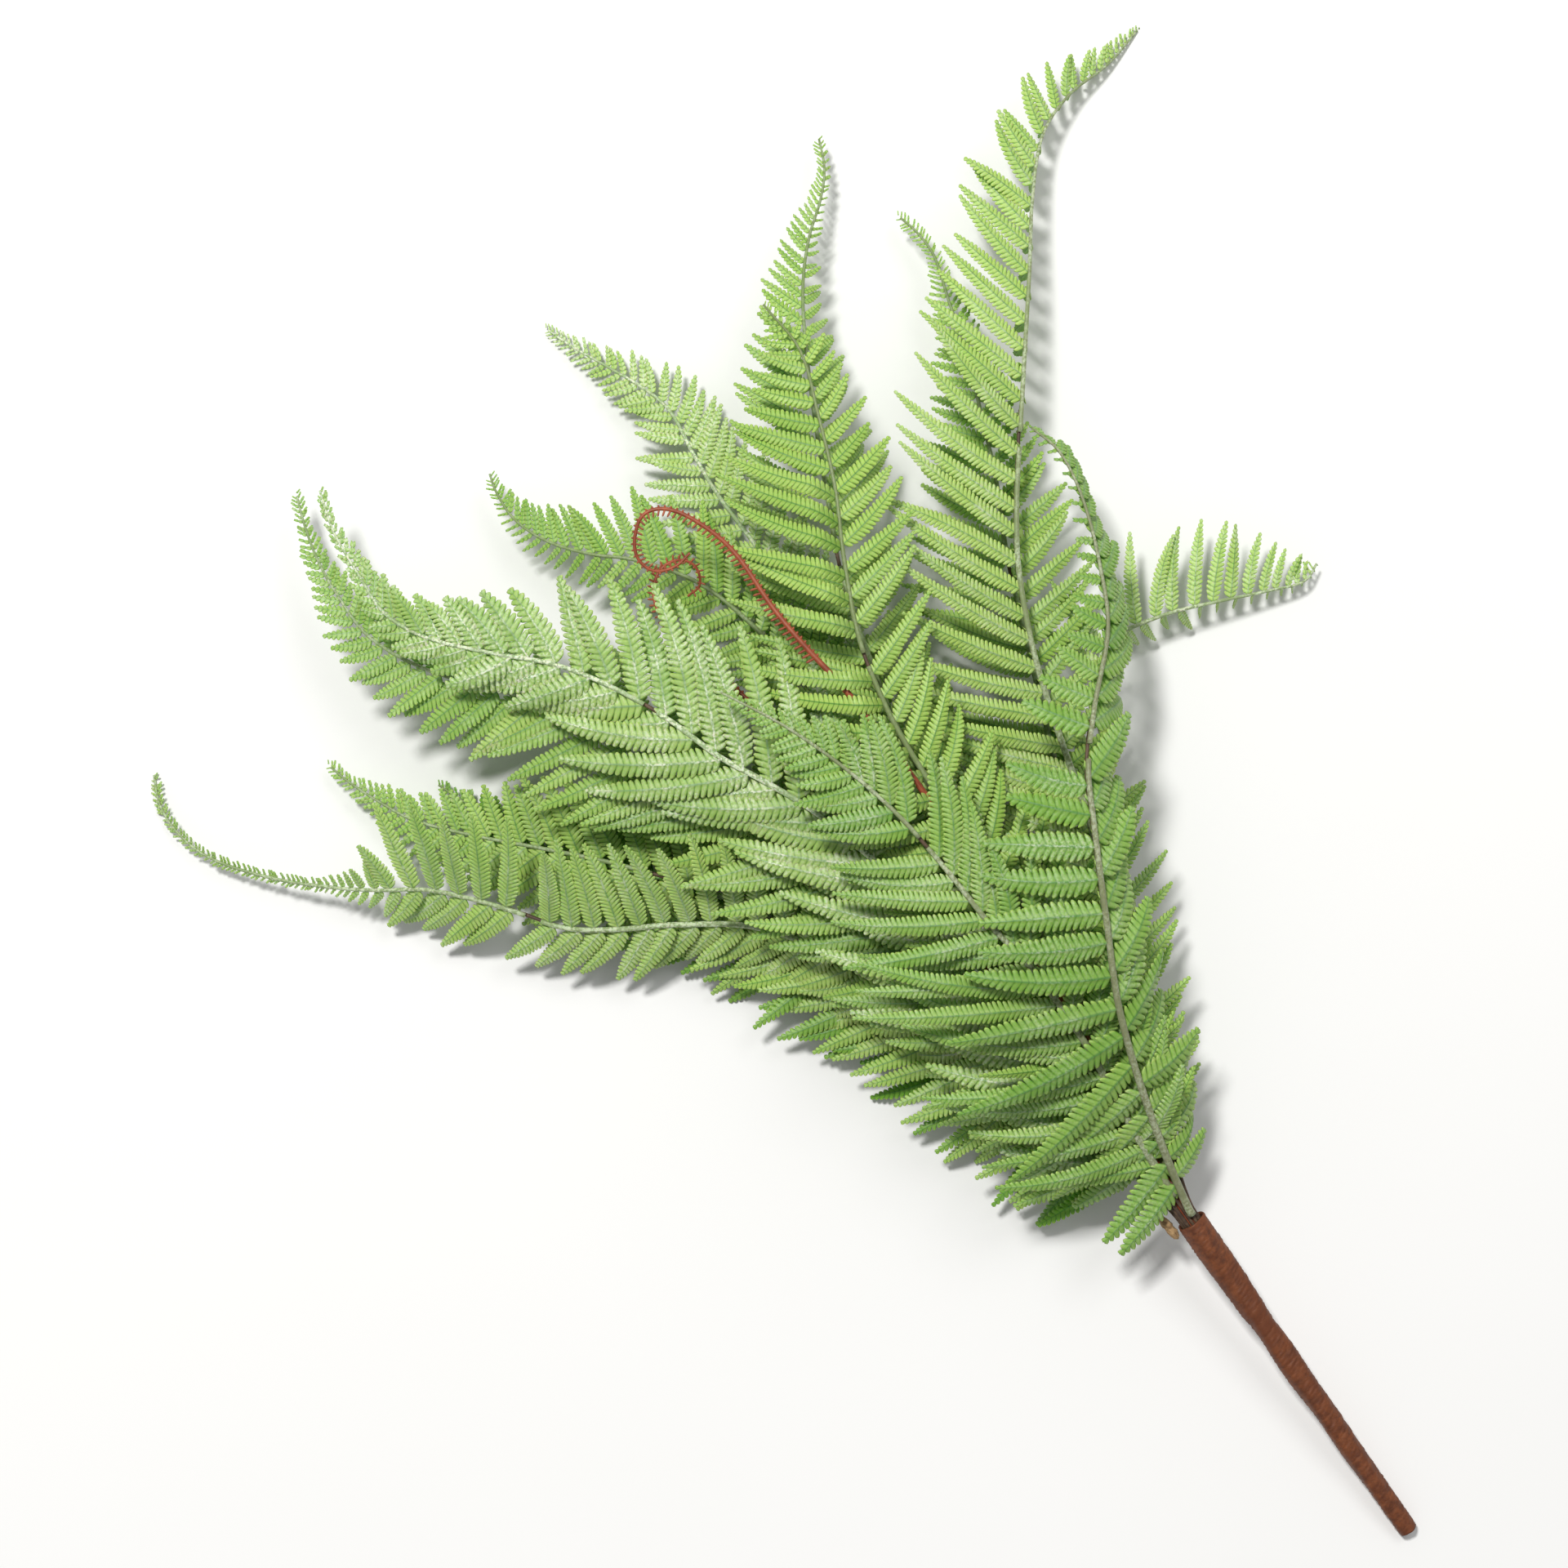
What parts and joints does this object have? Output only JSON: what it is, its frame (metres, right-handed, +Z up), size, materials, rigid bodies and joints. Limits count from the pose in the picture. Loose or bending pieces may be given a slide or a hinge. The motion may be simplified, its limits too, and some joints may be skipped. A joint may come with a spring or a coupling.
{
  "type": "artificial fern spray",
  "caption": "Lying plastic fern spray: paper-taped wire stem, fanned arching fronds with paired leaflets, and curled young fronds.",
  "frame": {"origin": "on the surface the spray lies on, under the middle of its outline", "axes": "+Y along the stem from its cut end towards the fan of fronds, +X across the fan to the right, +Z up"},
  "size_m": [0.4684, 0.5436, 0.09],
  "materials": {
    "moulded_leaf_plastic": "soft satin, frosted white on raised ribs",
    "young_frond_plastic": "satin",
    "coated_wire": "matt coating over steel wire",
    "wound_paper_tape": "matt, crepe wrinkles",
    "torn_fibre": "dull, fibrous"
  },
  "bodies": {
    "root": {"crozier_01": "young_frond_plastic", "crozier_02": "young_frond_plastic", "cut_sub_stem": "coated_wire", "frond_01_arch_leaf": "moulded_leaf_plastic", "frond_01_arch_tip": "moulded_leaf_plastic", "frond_01_arch_wire": "coated_wire", "frond_02_front_leaf": "moulded_leaf_plastic", "frond_02_front_tip": "moulded_leaf_plastic", "frond_02_front_wire": "coated_wire", "frond_03_centre_leaf": "moulded_leaf_plastic", "frond_03_centre_tip": "moulded_leaf_plastic", "frond_03_centre_wire": "coated_wire", "frond_04_broad_leaf": "moulded_leaf_plastic", "frond_04_broad_tip": "moulded_leaf_plastic", "frond_04_broad_wire": "coated_wire", "frond_05_rear_leaf": "moulded_leaf_plastic", "frond_05_rear_tip": "moulded_leaf_plastic", "frond_05_rear_wire": "coated_wire", "frond_06_under_broad_leaf": "moulded_leaf_plastic", "frond_06_under_broad_tip": "moulded_leaf_plastic", "frond_06_under_broad_wire": "coated_wire", "frond_07_long_leaf": "moulded_leaf_plastic", "frond_07_long_tip": "moulded_leaf_plastic", "frond_07_long_wire": "coated_wire", "frond_08_dark_leaf": "moulded_leaf_plastic", "frond_08_dark_tip": "moulded_leaf_plastic", "frond_08_dark_wire": "coated_wire", "frond_09_right_rear_leaf": "moulded_leaf_plastic", "frond_09_right_rear_tip": "moulded_leaf_plastic", "frond_09_right_rear_wire": "coated_wire", "frond_10_low_left_leaf": "moulded_leaf_plastic", "frond_10_low_left_tip": "moulded_leaf_plastic", "frond_10_low_left_wire": "coated_wire", "frond_11_pale_leaf": "moulded_leaf_plastic", "frond_11_pale_tip": "moulded_leaf_plastic", "frond_11_pale_wire": "coated_wire", "frond_12_left_under_leaf": "moulded_leaf_plastic", "frond_12_left_under_tip": "moulded_leaf_plastic", "frond_12_left_under_wire": "coated_wire", "frond_13_side_leaf": "moulded_leaf_plastic", "frond_13_side_tip": "moulded_leaf_plastic", "frond_13_side_wire": "coated_wire", "frond_14_lowest_leaf": "moulded_leaf_plastic", "frond_14_lowest_tip": "moulded_leaf_plastic", "frond_14_lowest_wire": "coated_wire", "stem_tape": "wound_paper_tape", "tape_fibre": "coated_wire", "torn_bud": "torn_fibre"}
  },
  "joints": []
}
